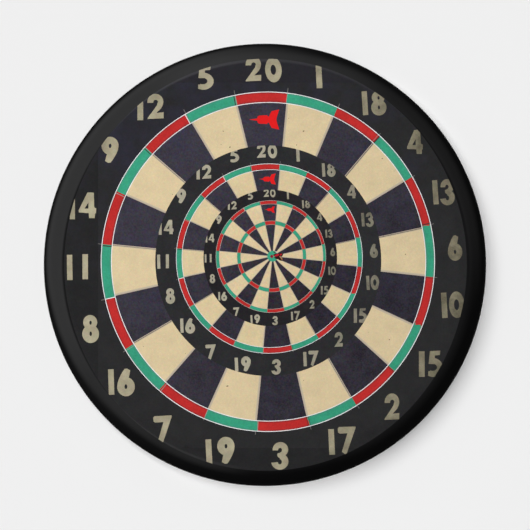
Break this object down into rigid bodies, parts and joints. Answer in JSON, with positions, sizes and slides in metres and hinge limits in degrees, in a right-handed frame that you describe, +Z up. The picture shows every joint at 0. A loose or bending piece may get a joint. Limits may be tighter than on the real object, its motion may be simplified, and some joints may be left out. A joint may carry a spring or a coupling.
{
  "type": "round dartboard fridge magnet",
  "caption": "Round domed tinplate magnet with a printed dartboard face under clear film, a crimped edge and a steel back holding a disc magnet.",
  "frame": {"origin": "centre of the magnet's contact face, where it sits on the sheet of steel it is stuck to", "axes": "+Y along the turning axis, out of the back into the sheet of steel; -Y out of the printed face; +Z up through the 20 of the printed board; +X to the right of the printed face"},
  "size_m": [0.0572, 0.0056, 0.0572],
  "materials": {
    "shell_steel": "satin",
    "print": "matt",
    "film": "gloss",
    "back_steel": "satin",
    "adhesive": "matt",
    "ferrite": "matt"
  },
  "bodies": {
    "root": {"steel_shell": "shell_steel", "printed_paper": "print", "clear_film": "film", "back_plate": "back_steel", "adhesive_pad": "adhesive", "magnet_disc": "ferrite"}
  },
  "joints": []
}
